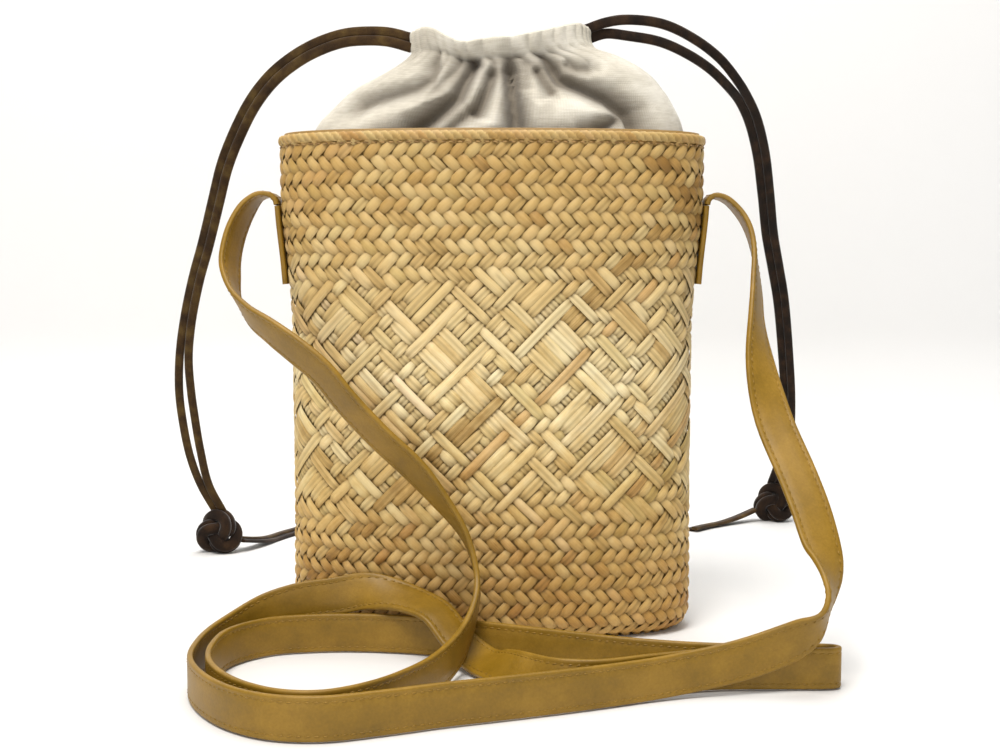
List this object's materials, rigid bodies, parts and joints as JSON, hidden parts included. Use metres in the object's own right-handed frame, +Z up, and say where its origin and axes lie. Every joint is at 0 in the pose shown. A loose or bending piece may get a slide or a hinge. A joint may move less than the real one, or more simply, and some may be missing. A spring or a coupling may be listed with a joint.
{
  "type": "raffia basket bag",
  "caption": "Small upright oval basket bag of plaited straw with a gathered linen drawstring collar, knotted suede laces and a long flat leather shoulder strap lying in front",
  "frame": {"origin": "middle of the basket's underside, on the surface it stands on", "axes": "+X to the right of the front, -Y out of the front where the strap lies, +Z up through the open neck"},
  "size_m": [0.3281, 0.3677, 0.2474],
  "materials": {
    "plaited_raffia": "natural plaited straw, matt",
    "washed_linen": "washed linen, matt",
    "khaki_leather": "smooth, soft sheen",
    "brown_suede": "brushed, matt"
  },
  "bodies": {
    "root": {"basket_body": "plaited_raffia", "linen_pouch": "washed_linen", "strap_tab_left": "khaki_leather", "strap_tab_right": "khaki_leather", "strap": "khaki_leather", "left_lace_a": "brown_suede", "left_lace_b": "brown_suede", "right_lace_a": "brown_suede", "right_lace_b": "brown_suede", "left_knot": "brown_suede", "right_knot": "brown_suede", "left_tail_a": "brown_suede", "left_tail_b": "brown_suede", "right_tail_a": "brown_suede", "right_tail_b": "brown_suede"}
  },
  "joints": []
}
